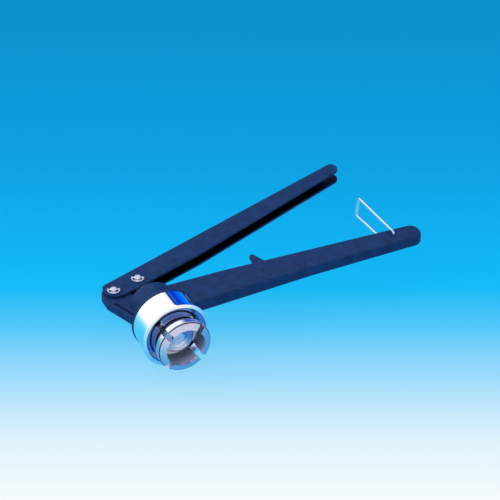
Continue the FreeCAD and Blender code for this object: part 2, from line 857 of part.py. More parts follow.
def make_bail():
    """Wire bail: two legs and a crossbar, with both ends bent inwards into the handle's hole."""
    hinge = V(handle_end - bail_hinge_from_end, handle_y(bail_hinge_place), 0)
    lean = math.radians(bail_lean)
    tip = hinge + V(-math.sin(lean), math.cos(lean), 0) * bail_length
    wide = V(0, 0, bail_half_width)
    end = V(0, 0, bail_half_width - bail_end_reach - bail_bend_radius)
    skew = V(-bail_skew_aside, bail_skew_out, 0)
    corners = [hinge + end, hinge + wide, tip + wide, tip - wide + skew, hinge - wide, hinge - end]
    edges = []
    at = corners[0]
    for index in range(1, 5):
        first, middle, last = rounded_corner(
            corners[index], corners[index - 1], corners[index + 1], bail_bend_radius
        )
        edges.append(Part.LineSegment(at, first).toShape())
        edges.append(Part.Arc(first, middle, last).toShape())
        at = last
    edges.append(Part.LineSegment(at, corners[5]).toShape())
    section = Part.Wire(Part.makeCircle(bail_wire_radius, corners[0], AXIS_Z))
    return Part.Wire(edges).makePipeShell([section], True, False)


def build():
    """Every piece of the tool by its name."""
    parts = {
        "body_casting": make_casting(),
        "collar": make_collar(),
        "jaw_ring": make_jaw_ring(),
        "pusher_head": make_pusher(),
        "pusher_screw": make_pusher_screw(),
        "jaw_spreader": make_spreader(),
        "plunger_rod": make_rod(),
        "drive_yoke": make_yoke(),
        "yoke_cross_pin": make_cross_pin(),
        "return_spring": make_return_spring(),
        "moving_handle": make_channel(),
        "pivot_pin": make_pin(pivot_at),
        "pivot_pin_clip": make_clip(pivot_at, pivot_clip_turn),
        "drive_pin": make_pin(drive_pin_at),
        "drive_pin_clip": make_clip(drive_pin_at, drive_clip_turn),
        "wire_bail": make_bail(),
    }
    parts.update(make_jaws())
    return parts


os.makedirs("parts", exist_ok=True)
for name, shape in build().items():
    shape.exportStep("parts/" + name + ".step")
    print(name, "solids", len(shape.Solids), "valid", shape.isValid(), "volume", round(shape.Volume, 1))
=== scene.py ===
import math

import bpy
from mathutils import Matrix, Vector


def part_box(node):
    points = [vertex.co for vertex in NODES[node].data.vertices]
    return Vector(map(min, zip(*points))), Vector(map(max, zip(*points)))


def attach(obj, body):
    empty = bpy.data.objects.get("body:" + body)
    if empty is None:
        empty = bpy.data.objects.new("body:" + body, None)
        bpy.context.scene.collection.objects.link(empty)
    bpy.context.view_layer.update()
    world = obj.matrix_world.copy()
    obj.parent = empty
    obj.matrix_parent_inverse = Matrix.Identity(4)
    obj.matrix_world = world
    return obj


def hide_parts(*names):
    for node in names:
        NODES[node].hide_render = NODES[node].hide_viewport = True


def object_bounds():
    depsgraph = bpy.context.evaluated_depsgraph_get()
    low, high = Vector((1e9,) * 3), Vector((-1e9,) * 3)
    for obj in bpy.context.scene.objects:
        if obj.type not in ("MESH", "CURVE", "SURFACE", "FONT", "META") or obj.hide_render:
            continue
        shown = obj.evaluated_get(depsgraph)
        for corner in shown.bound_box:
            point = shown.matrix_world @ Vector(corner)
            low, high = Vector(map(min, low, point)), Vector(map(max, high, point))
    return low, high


bl_info = {
    "name": "Vial decapper",
    "version": (1, 0, 0),
    "blender": (4, 5, 0),
    "location": "View3D > Sidebar > Decapper",
    "description": "Dresses the packed hand decapper with polished collar, jaws, plunger disc, steel and paint",
    "category": "Object",
}

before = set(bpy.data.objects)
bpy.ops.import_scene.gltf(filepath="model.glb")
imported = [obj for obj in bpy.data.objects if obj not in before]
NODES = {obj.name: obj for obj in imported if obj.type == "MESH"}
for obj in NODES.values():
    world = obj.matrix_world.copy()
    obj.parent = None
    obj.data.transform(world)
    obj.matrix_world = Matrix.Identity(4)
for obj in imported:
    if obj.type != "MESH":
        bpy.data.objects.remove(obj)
CAD_BOX = [list(corner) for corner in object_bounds()]
COLLAR_LOW, COLLAR_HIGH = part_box("collar")
JAW_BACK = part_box("jaw_right")[1].y
PUSHER_LOW, PUSHER_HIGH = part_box("pusher_head")
TOOL_LOW = Vector(CAD_BOX[0])
PIVOT_LOW, PIVOT_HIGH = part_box("pivot_pin")
PIVOT = (PIVOT_LOW + PIVOT_HIGH) / 2

MERGE_WITHIN = 0.000001
BEVEL_ABOVE = math.radians(30)
SMOOTH_BELOW = math.radians(40)
WOBBLE_SIZE = 0.004
UNEVEN_SIZE = 0.0016
RING_SLANT = 0.83
SENSOR_WIDTH = 36
PIN_BORE = 0.00202

# The moving handle's channel, where the paint is darkened as painted shade: its angle at rest, how far behind
# the pivot its floor lies, and half its height.
CHANNEL_ANGLE = math.radians(17.5)
CHANNEL_FLOOR = 0.0080
CHANNEL_HALF = 0.00305

# Where the jaws' painted shade, painted reflection and painted light begin and end, as radii and as places
# along the head.
JAW_WALL = 0.0142
JAW_GROOVE_RADIUS = 0.01518
JAW_CORNER_RADIUS = 0.0160
JAW_CORNER = (0.0016, 0.0023)
JAW_GROOVE = (0.00655, 0.01045)


class CollarSizes(bpy.types.PropertyGroup):
    """Sizes of the polished collar."""

    rim_height: bpy.props.FloatProperty(
        name="Rim height", description="How far the front rim stands out of the collar's body",
        default=0.0016, min=0.0005, max=0.003, unit="LENGTH", precision=4)
    rim_width: bpy.props.FloatProperty(
        name="Rim width", description="Length of the front rim along the head",
        default=0.0022, min=0.001, max=0.005, unit="LENGTH", precision=4)
    lip_length: bpy.props.FloatProperty(
        name="Lip length", description="Length of the inner lip that holds the jaws' rims",
        default=0.0073, min=0.004, max=0.009, unit="LENGTH", precision=4)
    bore_radius: bpy.props.FloatProperty(
        name="Bore radius", description="Radius of the front opening round the jaws",
        default=0.0162, min=0.0159, max=0.018, unit="LENGTH", precision=4)
    cone_radius: bpy.props.FloatProperty(
        name="Cone radius", description="Outer radius of the cone that leads from the face into the bore",
        default=0.0194, min=0.017, max=0.020, unit="LENGTH", precision=4)
    cone_depth: bpy.props.FloatProperty(
        name="Cone depth", description="How far behind the face the cone meets the bore",
        default=0.0026, min=0.001, max=0.004, unit="LENGTH", precision=4)
    thread_radius: bpy.props.FloatProperty(
        name="Thread radius", description="Inner radius of the skirt that screws on the casting",
        default=0.0184, min=0.0182, max=0.019, unit="LENGTH", precision=4)
    face_slope: bpy.props.FloatProperty(
        name="Face slope", description="How far the front face falls back from its bore to its rim",
        default=0.0005, min=0, max=0.002, unit="LENGTH", precision=4)
    edge_round: bpy.props.FloatProperty(
        name="Edge round", description="Width of the rounding on the collar's edges",
        default=0.0004, min=0.0001, max=0.0007, unit="LENGTH", precision=4)


class JawSizes(bpy.types.PropertyGroup):
    """Sizes of the four jaws."""

    mouth_radius: bpy.props.FloatProperty(
        name="Mouth radius", description="Inner radius of the gripping lips",
        default=0.0123, min=0.011, max=0.013, unit="LENGTH", precision=4)
    lip_length: bpy.props.FloatProperty(
        name="Lip length", description="Length of the gripping lips along the head",
        default=0.0022, min=0.001, max=0.003, unit="LENGTH", precision=4)
    slot_width: bpy.props.FloatProperty(
        name="Slot width", description="Width of the open slots between neighbouring jaws",
        default=0.0037, min=0.003, max=0.005, unit="LENGTH", precision=4)
    edge_round: bpy.props.FloatProperty(
        name="Edge round", description="Width of the rounding on the jaws' edges",
        default=0.00018, min=0.00005, max=0.0003, unit="LENGTH", precision=5)


class PusherSizes(bpy.types.PropertyGroup):
    """Sizes of the plunger's disc."""

    edge_bevel: bpy.props.FloatProperty(
        name="Edge bevel", description="Width of the bright bevel round the disc",
        default=0.0007, min=0.0002, max=0.0015, unit="LENGTH", precision=4)
    ring_depth: bpy.props.FloatProperty(
        name="Ring depth", description="Depth of the turned rings in the disc's face",
        default=0.0003, min=0.0001, max=0.0008, unit="LENGTH", precision=4)
    dish_slope: bpy.props.FloatProperty(
        name="Dish slope", description="How steeply the disc's face falls back towards its middle",
        default=0.3, min=0, max=0.4)
    ring_width: bpy.props.FloatProperty(
        name="Ring width", description="Width of each turned ring and of the land beside it",
        default=0.0011, min=0.0005, max=0.002, unit="LENGTH", precision=4)
    seat_radius: bpy.props.FloatProperty(
        name="Screw seat radius", description="Radius of the countersink for the middle screw",
        default=0.0038, min=0.003, max=0.005, unit="LENGTH", precision=4)


class FinishColours(bpy.types.PropertyGroup):
    """Colours of the tool's finishes."""

    paint: bpy.props.FloatVectorProperty(
        name="Paint", description="Dark blue of the baked paint on the casting and the handle",
        default=(0.0105, 0.045, 0.162), subtype="COLOR", min=0, max=1)
    plating: bpy.props.FloatVectorProperty(
        name="Plating", description="Polished plating of the collar",
        default=(0.93, 0.95, 0.97), subtype="COLOR", min=0, max=1)
    jaw_steel: bpy.props.FloatVectorProperty(
        name="Jaw steel", description="Turned steel of the jaws",
        default=(0.68, 0.73, 0.88), subtype="COLOR", min=0, max=1)
    disc_steel: bpy.props.FloatVectorProperty(
        name="Disc steel", description="Turned steel of the plunger's disc",
        default=(0.90, 0.87, 0.96), subtype="COLOR", min=0, max=1)
    wire: bpy.props.FloatVectorProperty(
        name="Wire", description="Drawn bright wire and spring steel",
        default=(0.50, 0.66, 0.90), subtype="COLOR", min=0, max=1)


class StageSettings(bpy.types.PropertyGroup):
    """Camera, floor and lights."""

    frame_width: bpy.props.FloatProperty(
        name="Frame width", description="Width of the scene that the camera takes in at the tool",
        default=0.30, min=0.1, max=1, unit="LENGTH")
    camera_distance: bpy.props.FloatProperty(
        name="Camera distance", description="From the camera to the tool; a long one keeps lines parallel",
        default=4.0, min=1, max=10, unit="LENGTH")
    camera_height: bpy.props.FloatProperty(
        name="Camera height", description="Angle of the camera's view above the floor",
        default=math.radians(36.2), min=0, max=math.pi / 2, subtype="ANGLE")
    camera_turn: bpy.props.FloatProperty(
        name="Camera turn", description="Angle of the camera round the tool, from straight in front",
        default=math.radians(-25.15), min=-math.pi, max=math.pi, subtype="ANGLE")
    camera_target: bpy.props.FloatVectorProperty(
        name="Camera target", description="Point of the tool in the middle of the picture",
        default=(0.0755, 0.0724, 0.0), subtype="TRANSLATION", unit="LENGTH")


class Value:
    """A number from a shader node, so that sums of numbers can be written as sums."""

    def __init__(self, shader, socket):
        self.shader = shader
        self.socket = socket

    def reckon(self, operation, *inputs):
        """A Math node on these numbers."""
        return self.shader.node("ShaderNodeMath", {"operation": operation}, *inputs)["Value"]

    def sine(self):
        return self.reckon("SINE", self)

    def larger(self, other):
        return self.reckon("MAXIMUM", self, other)

    def between(self, low, high):
        """1 where this number lies between these two, else 0."""
        return (self > low) * (self < high)

    def __add__(self, other):
        return self.reckon("ADD", self, other)

    def __radd__(self, other):
        return self.reckon("ADD", other, self)

    def __sub__(self, other):
        return self.reckon("SUBTRACT", self, other)

    def __rsub__(self, other):
        return self.reckon("SUBTRACT", other, self)

    def __mul__(self, other):
        return self.reckon("MULTIPLY", self, other)

    def __rmul__(self, other):
        return self.reckon("MULTIPLY", other, self)

    def __truediv__(self, other):
        return self.reckon("DIVIDE", self, other)

    def __pow__(self, other):
        return self.reckon("POWER", self, other)

    def __gt__(self, other):
        return self.reckon("GREATER_THAN", self, other)

    def __lt__(self, other):
        return self.reckon("LESS_THAN", self, other)


class Shader:
    """The node tree of one material or of the world."""

    def __init__(self, owner):
        owner.use_nodes = True
        self.owner = owner
        self.tree = owner.node_tree
        self.tree.nodes.clear()

    def node(self, kind, settings=None, *inputs, **named):
        """Adds a node, sets it, fills its sockets in order or by name, and gives its outputs by name."""
        made = self.tree.nodes.new(kind)
        for key, value in (settings or {}).items():
            if key == "stops":
                self.set_stops(made.color_ramp, value)
            else:
                setattr(made, key, value)
        for index, value in enumerate(inputs):
            self.feed(made.inputs[index], value)
        for key, value in named.items():
            self.feed(self.find(made.inputs, key), value)
        return {out.name: Value(self, out) for out in reversed(made.outputs) if out.enabled}

    def find(self, sockets, key):
        """The enabled socket whose name in lower case, with underscores, is this key."""
        for socket in sockets:
            if socket.enabled and socket.name.lower().replace(" ", "_") == key:
                return socket
        raise KeyError(key)

    def feed(self, socket, value):
        """Links a value into a socket, or sets it."""
        if isinstance(value, Value):
            self.tree.links.new(value.socket, socket)
        elif hasattr(value, "__len__") and len(value) == 3 and socket.type == "RGBA":
            socket.default_value = (*value, 1)
        else:
            socket.default_value = value

    def set_stops(self, ramp, stops):
        """Sets a ramp's stops from (place, colour or grey) pairs."""
        while len(ramp.elements) > 1:
            ramp.elements.remove(ramp.elements[-1])
        for index, (place, colour) in enumerate(stops):
            element = ramp.elements[0] if index == 0 else ramp.elements.new(place)
            element.position = place
            element.color = (colour, colour, colour, 1) if isinstance(colour, (int, float)) else (*colour, 1)

    def place(self):
        """Object coordinates, in metres in the tool's frame."""
        return self.node("ShaderNodeTexCoord")["Object"]

    def axes(self, vector):
        """The x, y and z of a vector."""
        parts = self.node("ShaderNodeSeparateXYZ", None, vector)
        return parts["X"], parts["Y"], parts["Z"]

    def from_axis(self, vector):
        """The distance from the head's axis."""
        x, y, z = self.axes(vector)
        return (x * x + z * z) ** 0.5

    def along_axis(self, vector):
        """The place along the head's axis."""
        return self.axes(vector)[1]

    def rings(self, vector, travel, width, wobble):
        """A wave from -1 to 1 whose crests are this far apart, as a lathe's tool leaves them."""
        phase = travel * (2 * math.pi / width) + self.noise(vector, WOBBLE_SIZE, 2.0) * wobble
        return phase.sine()

    def noise(self, vector, size, detail=2.0, roughness=0.5):
        """Noise from 0 to 1 whose lumps are about this many metres across."""
        return self.node("ShaderNodeTexNoise", None, vector=vector, scale=1 / size, detail=detail,
                         roughness=roughness)["Fac"]

    def ramp(self, value, colours):
        """A ramp through screen colours, given as (place, colour) pairs."""
        stops = [(place, light_of(colour)) for place, colour in colours]
        return self.node("ShaderNodeValToRGB", {"stops": stops}, value)["Color"]

    def blend(self, share, first, second):
        """A mix of two colours."""
        return self.node("ShaderNodeMix", {"data_type": "RGBA"}, factor=share, a=first, b=second)["Result"]

    def background(self, colour, strength):
        """The world's light of this colour."""
        return self.node("ShaderNodeBackground", None, color=colour, strength=strength)["Background"]

    def bump(self, height, distance, strength=1.0):
        """A normal bent by this height, which is 1 at this many metres."""
        return self.node("ShaderNodeBump", None, strength=strength, distance=distance, height=height)["Normal"]

    def finish(self, **sockets):
        """Closes the material with a Principled shader."""
        surface = self.node("ShaderNodeBsdfPrincipled", None, **sockets)["BSDF"]
        self.node("ShaderNodeOutputMaterial", None, surface)
        return self.owner


def light_of(colour):
    """The light that a screen colour, in parts from 0 to 255, stands for."""
    shares = [part / 255 for part in colour]
    return tuple(share / 12.92 if share <= 0.04045 else ((share + 0.055) / 1.055) ** 2.4 for share in shares)


def seen_directly(shader):
    """1 for the camera and for mirrors, 0 for light that falls on the tool."""
    path = shader.node("ShaderNodeLightPath")
    return path["Is Camera Ray"].larger(path["Is Glossy Ray"]).larger(path["Is Transmission Ray"])


def shader_for(name):
    """A new material and the shader that fills it."""
    return Shader(bpy.data.materials.new(name))


def painted(name, colour, shade_channel=False):
    """Baked textured paint: fine orange peel and uneven colour and gloss, with painted shade, near black, deep
    in the channel.
    """
    shader = shader_for(name)
    place = shader.place()
    grain = shader.noise(place, 0.0007, 3.0, 0.6)
    clouds = shader.noise(place, 0.006, 3.0, 0.6)
    tone = 0.55 * grain + 0.45 * clouds
    dark = tuple(part * 0.62 for part in colour)
    light = tuple(part * 1.42 for part in colour)
    spread = shader.node("ShaderNodeValToRGB", {"stops": [(0.36, 0), (0.64, 1)]}, tone)["Color"]
    paint = shader.blend(spread, dark, light)
    if shade_channel:
        # Painted shade: deep in the moving handle's channel, where shade falls, the paint turns near black.
        x, y, z = shader.axes(place)
        depth = (y - PIVOT.y) * math.cos(CHANNEL_ANGLE) - (x - PIVOT.x) * math.sin(CHANNEL_ANGLE)
        within = (z * z < CHANNEL_HALF * CHANNEL_HALF) * (depth < CHANNEL_FLOOR)
        paint = shader.blend(within, paint, (0.0007, 0.002, 0.008))
    return shader.finish(
        base_color=paint,
        roughness=0.46 + 0.16 * grain,
        specular_ior_level=0.14,
        normal=shader.bump(grain, 0.00006, 0.5),
    )


def polished(colour, cone_radius):
    """Bright plating with faint polishing lines round the collar, rougher in the bore's cone, whose colour
    carries a painted blue reflection.
    """
    shader = shader_for("polished_chrome")
    place = shader.place()
    lines = shader.node("ShaderNodeMapping", None, vector=place, scale=(0.15, 1, 0.15))["Vector"]
    fine = shader.noise(lines, 0.00012, 2.0)
    smears = shader.noise(place, 0.009, 3.0)
    # Painted reflection: inside the cone radius the plating is coloured a darker blue for the blue it mirrors,
    # and it is also made rougher.
    within = shader.from_axis(place) < cone_radius
    tone = shader.blend(0.10 * smears, colour, (0.70, 0.80, 0.95))
    return shader.finish(
        base_color=shader.blend(within, tone, (0.58, 0.72, 0.95)),
        metallic=1.0,
        roughness=0.035 + 0.03 * smears + 0.02 * fine + 0.10 * within,
    )


def cone_steel(colour):
    """Steel of the spreading cone, with fine rings round the head's axis from the tool's feed."""
    shader = shader_for("cone_steel")
    place = shader.place()
    wave = shader.rings(place, shader.from_axis(place) + shader.along_axis(place) * RING_SLANT, 0.0004, 2.2)
    uneven = shader.noise(place, UNEVEN_SIZE, 3.0)
    shade = 0.5 + 0.22 * wave + 0.30 * (uneven - 0.5)
    return shader.finish(
        base_color=shader.blend(shade, tuple(part * 0.74 for part in colour), colour),
        metallic=1.0,
        roughness=0.25 + 0.10 * uneven,
        normal=shader.bump(wave, 0.00001, 0.6),
    )


def jaw_steel(colour):
    """Turned steel with bright heads, and painted light and shade: a painted shadow line at the front corner,
    painted shade with a blue reflection on the shanks, painted shade in the groove and painted light on the
    rougher insides.
    """
    shader = shader_for("jaw_steel")
    place = shader.place()
    along = shader.along_axis(place)
    radius = shader.from_axis(place)
    wave = shader.rings(place, radius + along * RING_SLANT, 0.00035, 2.2)
    uneven = shader.noise(place, UNEVEN_SIZE, 3.0)
    outside = radius > JAW_WALL
    # Painted shade and blue reflection on the shanks, which lie in the collar's shadow.
    shank = (along > JAW_GROOVE[1]) * outside
    # Painted shade in the groove between head and shank.
    groove = along.between(*JAW_GROOVE) * (radius < JAW_GROOVE_RADIUS) * outside
    # Painted light: the jaws' insides get a lighter colour, as well as a rougher finish.
    inside = (radius < JAW_WALL) * (along > JAW_CORNER[1])
    # Painted shadow line at the step on the heads' front corner.
    corner = along.between(*JAW_CORNER) * (radius > JAW_CORNER_RADIUS)
    tone = shader.blend(shank, colour, (0.46, 0.56, 0.78))
    tone = shader.blend(inside, tone, (0.74, 0.80, 0.90))
    tone = shader.blend(groove, tone, (0.06, 0.09, 0.18))
    tone = shader.blend(corner, tone, (0.05, 0.05, 0.08))
    worn = 0.86 + 0.08 * wave + 0.20 * (uneven - 0.5)
    return shader.finish(
        base_color=shader.blend(worn, (0.0, 0.0, 0.02), tone),
        metallic=0.95,
        roughness=0.13 + 0.10 * uneven + 0.24 * inside,
        normal=shader.bump(wave, 0.00001, 0.6),
    )


def disc_steel(colour):
    """The plunger's turned face: rings, with a painted reflection of one bright fan and one blue one."""
    shader = shader_for("turned_steel")
    place = shader.place()
    x, y, z = shader.axes(place)
    radius = shader.from_axis(place)
    wave = shader.rings(place, radius, 0.0009, 1.6)
    # Painted reflection: the face is brighter towards -x and -z and blue towards +x and +z.
    toward = (x * -0.80 + z * -0.60) / (radius + 0.0006)
    fan = shader.node("ShaderNodeMapRange", {"interpolation_type": "SMOOTHSTEP"}, value=toward,
                      from_min=-0.75, from_max=0.35)["Result"]
    tone = shader.blend(fan, (0.20, 0.42, 0.78), colour)
    return shader.finish(
        base_color=shader.blend(0.82 + 0.16 * wave, (0.05, 0.06, 0.12), tone),
        metallic=0.9,
        roughness=0.15 + 0.10 * shader.noise(place, UNEVEN_SIZE, 3.0),
        normal=shader.bump(wave, 0.00002, 0.6),
    )


def bright_wire(name, colour, roughness):
    """Drawn or ground steel with slight lengthwise streaks."""
    shader = shader_for(name)
    place = shader.place()
    streaks = shader.noise(place, 0.0008, 3.0)
    return shader.finish(
        base_color=shader.blend(streaks, tuple(part * 0.82 for part in colour), colour),
        metallic=1.0,
        roughness=roughness + 0.12 * streaks,
        normal=shader.bump(streaks, 0.00002, 0.4),
    )


def rubber():
    """Dull black rubber of the jaws' ring."""
    shader = shader_for("black_rubber")
    grain = shader.noise(shader.place(), 0.0005, 3.0)
    return shader.finish(
        base_color=shader.blend(grain, (0.012, 0.012, 0.013), (0.03, 0.03, 0.032)),
        roughness=0.55 + 0.2 * grain,
        normal=shader.bump(grain, 0.00004, 0.4),
    )


def deselect():
    """Leaves no object selected, so that an operator acts on one piece."""
    bpy.ops.object.select_all(action="DESELECT")


def close_edit():
    """Merges what lies together, turns faces outwards and leaves edit mode."""
    bpy.ops.mesh.select_all(action="SELECT")
    bpy.ops.mesh.remove_doubles(threshold=MERGE_WITHIN)
    bpy.ops.mesh.normals_make_consistent(inside=False)
    bpy.ops.object.mode_set(mode="OBJECT")


def settle(piece):
    """Puts the piece's place into its mesh, so that its object stands at the origin."""
    deselect()
    piece.select_set(True)
    bpy.context.view_layer.objects.active = piece
    bpy.ops.object.transform_apply(location=True, rotation=True, scale=True)


def turn(name, profile, segments):
    """A turned piece: a ring extruded through (radius, station) points back to where it began."""
    deselect()
    radius, station = profile[0]
    bpy.ops.mesh.primitive_circle_add(
        vertices=segments, radius=radius, location=(0, station, 0), rotation=(math.pi / 2, 0, 0))
    piece = bpy.context.object
    piece.name = name
    piece.data.name = name
    bpy.ops.object.mode_set(mode="EDIT")
    bpy.ops.mesh.select_all(action="SELECT")
    for next_radius, next_station in profile[1:] + profile[:1]:
        bpy.ops.mesh.extrude_region_move(TRANSFORM_OT_translate={"value": (0, next_station - station, 0)})
        if next_radius != radius:
            share = next_radius / radius
            bpy.ops.transform.resize(value=(share, 1, share), center_override=(0, next_station, 0))
        radius, station = next_radius, next_station
    close_edit()
    settle(piece)
    return piece


def round_edges(piece, width, segments):
    """Rounds the piece's sharp edges and shades it smooth, with its flat faces' normals kept flat."""
    deselect()
    piece.select_set(True)
    bpy.context.view_layer.objects.active = piece
    bpy.ops.object.modifier_add(type="BEVEL")
    bevel = piece.modifiers[-1]
    bevel.width = width
    bevel.segments = segments
    bevel.limit_method = "ANGLE"
    bevel.angle_limit = BEVEL_ABOVE
    bevel.use_clamp_overlap = True
    bpy.ops.object.modifier_apply(modifier=bevel.name)
    bpy.ops.object.shade_smooth_by_angle(angle=SMOOTH_BELOW)
    bpy.ops.object.modifier_add(type="WEIGHTED_NORMAL")
    even = piece.modifiers[-1]
    even.keep_sharp = True
    bpy.ops.object.modifier_apply(modifier=even.name)


def cut_away(point, normal):
    """Cuts the mesh open in edit mode on a plane, removes what lies along the normal and closes the cut."""
    bpy.ops.mesh.select_all(action="SELECT")
    bpy.ops.mesh.bisect(
        plane_co=point, plane_no=normal, use_fill=True, clear_outer=True, threshold=MERGE_WITHIN)


def wear(piece, material):
    """Gives the piece its one material."""
    piece.data.materials.clear()
    piece.data.materials.append(material)


def dress_node(name, material):
    """Gives a CAD node a better material in its own slots."""
    for slot in NODES[name].material_slots:
        slot.material = material


class DECAPPER_OT_collar(bpy.types.Operator):
    """Turns the polished collar and puts it in the place of the CAD ring"""

    bl_idname = "decapper.collar"
    bl_label = "Collar"

    def execute(self, context):
        sizes = context.scene.decapper_collar
        colours = context.scene.decapper_colours
        front = COLLAR_LOW.y
        back = COLLAR_HIGH.y
        rim = COLLAR_HIGH.x
        body = rim - sizes.rim_height
        cone = sizes.cone_radius
        cone_edge = cone - 0.0006
        piece = turn("collar_ring", [
            (sizes.bore_radius, front + sizes.cone_depth),
            (cone_edge, front + 0.0009),
            (cone_edge + 0.0001, front + 0.0002),
            (cone, front),
            (rim, front + sizes.face_slope),
            (rim, front + sizes.rim_width),
            (body, front + sizes.rim_width),
            (body, back),
            (sizes.thread_radius, back),
            (sizes.thread_radius, front + sizes.lip_length),
            (sizes.bore_radius, front + sizes.lip_length),
        ], 192)
        round_edges(piece, sizes.edge_round, 3)
        wear(piece, polished(colours.plating, cone - 0.0004))
        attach(piece, "body")
        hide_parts("collar")
        return {"FINISHED"}


class DECAPPER_OT_jaws(bpy.types.Operator):
    """Turns the jaw ring, cuts one jaw out of it and copies it round the head"""

    bl_idname = "decapper.jaws"
    bl_label = "Jaws"

    def execute(self, context):
        sizes = context.scene.decapper_jaws
        colours = context.scene.decapper_colours
        mouth = sizes.mouth_radius
        head = mouth + 0.0046
        pocket = mouth + 0.0015
        groove = pocket + 0.0006
        shank = groove + 0.0013
        rim = shank + 0.0009
        tail_inner = 0.0120
        tail = tail_inner + 0.0020
        lip = sizes.lip_length
        step = 0.0004
        head_back = 0.0064
        bead = groove + 0.0007
        bead_front, bead_back = 0.0083, 0.0091
        shank_front = 0.0104
        rim_front, rim_back = 0.0208, 0.0228
        seat = tail - 0.0008
        seat_front, seat_back = 0.0257, 0.0271
        piece = turn("jaw_right_steel", [
            (mouth, 0),
            (head - step, 0.0017),
            (head - step, 0.0021),
            (head, 0.0025),
            (head, head_back - 0.0006),
            (head - 0.0005, head_back),
            (groove, head_back),
            (groove, bead_front),
            (bead, bead_front),
            (bead, bead_back),
            (groove, bead_back),
            (groove, shank_front),
            (shank, shank_front),
            (shank, rim_front),
            (rim, rim_front),
            (rim, rim_back),
            (tail, rim_back),
            (tail, seat_front),
            (seat, seat_front),
            (seat, seat_back),
            (tail, seat_back),
            (tail, JAW_BACK),
            (tail_inner, JAW_BACK),
            (tail_inner, lip + 0.0140),
            (pocket, lip + 0.0130),
            (pocket, lip + 0.0010),
            (mouth, lip),
        ], 240)
        bpy.context.view_layer.objects.active = piece
        bpy.ops.object.mode_set(mode="EDIT")
        half = sizes.slot_width / 2
        for side in (1, -1):
            out = Vector((-math.sqrt(0.5), 0, side * math.sqrt(0.5)))
            cut_away(-out * half, out)
        close_edit()
        round_edges(piece, sizes.edge_round, 2)
        wear(piece, jaw_steel(colours.jaw_steel))
        turns = {"jaw_top": -math.pi / 2, "jaw_left": math.pi, "jaw_bottom": math.pi / 2}
        jaws = {"jaw_right": piece}
        for name, angle in turns.items():
            deselect()
            piece.select_set(True)
            bpy.context.view_layer.objects.active = piece
            bpy.ops.object.duplicate(linked=False)
            copy = bpy.context.object
            copy.name = name + "_steel"
            copy.data.name = copy.name
            copy.rotation_euler = (0, angle, 0)
            settle(copy)
            jaws[name] = copy
        for name, jaw in jaws.items():
            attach(jaw, name)
            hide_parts(name)
        return {"FINISHED"}


class DECAPPER_OT_pusher(bpy.types.Operator):
    """Turns the plunger's disc with its rings"""

    bl_idname = "decapper.pusher"
    bl_label = "Plunger disc"

    def execute(self, context):
        sizes = context.scene.decapper_pusher
        colours = context.scene.decapper_colours
        front = PUSHER_LOW.y
        back = PUSHER_HIGH.y
        rim = PUSHER_HIGH.x
        flat_from = rim - sizes.edge_bevel - 0.0006

        def face(radius):
            """Where the dished face lies at this radius."""
            return front + max(flat_from - radius, 0) * sizes.dish_slope

        seat = sizes.seat_radius
        slope = 0.0002
        seat_depth = 0.0022
        profile = [
            (PIN_BORE, back),
            (PIN_BORE, front + seat_depth),
            (seat, face(seat) + 0.0004),
            (seat, face(seat)),
        ]
        radius = seat + 0.0008
        while radius + sizes.ring_width < flat_from:
            last = radius + sizes.ring_width
            profile += [
                (radius, face(radius)),
                (radius + slope, face(radius + slope) + sizes.ring_depth),
                (last - slope, face(last - slope) + sizes.ring_depth),
                (last, face(last)),
            ]
            radius += 2 * sizes.ring_width
        profile += [(rim - sizes.edge_bevel, front), (rim, front + sizes.edge_bevel), (rim, back)]
        piece = turn("plunger_disc", profile, 144)
        round_edges(piece, 0.0001, 2)
        wear(piece, disc_steel(colours.disc_steel))
        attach(piece, "plunger")
        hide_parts("pusher_head")
        return {"FINISHED"}


class DECAPPER_OT_finishes(bpy.types.Operator):
    """Gives the CAD pieces that stay their paint, steel and rubber"""

    bl_idname = "decapper.finishes"
    bl_label = "Finishes"

    def execute(self, context):
        colours = context.scene.decapper_colours
        dress_node("body_casting", painted("blue_paint", colours.paint))
        dress_node("moving_handle", painted("blue_paint_channel", colours.paint, True))
        wire = bright_wire("wire_steel", colours.wire, 0.14)
        dress_node("wire_bail", wire)
        clip = bright_wire("spring_steel", (0.66, 0.70, 0.86), 0.16)
        for name in ("pivot_pin_clip", "drive_pin_clip", "return_spring"):
            dress_node(name, clip)
        ground = bright_wire("bright_steel", (0.84, 0.85, 0.96), 0.22)
        for name in ("pivot_pin", "drive_pin", "pusher_screw", "plunger_rod", "drive_yoke", "yoke_cross_pin"):
            dress_node(name, ground)
        dress_node("jaw_spreader", cone_steel((0.66, 0.66, 0.70)))
        dress_node("jaw_ring", rubber())
        return {"FINISHED"}


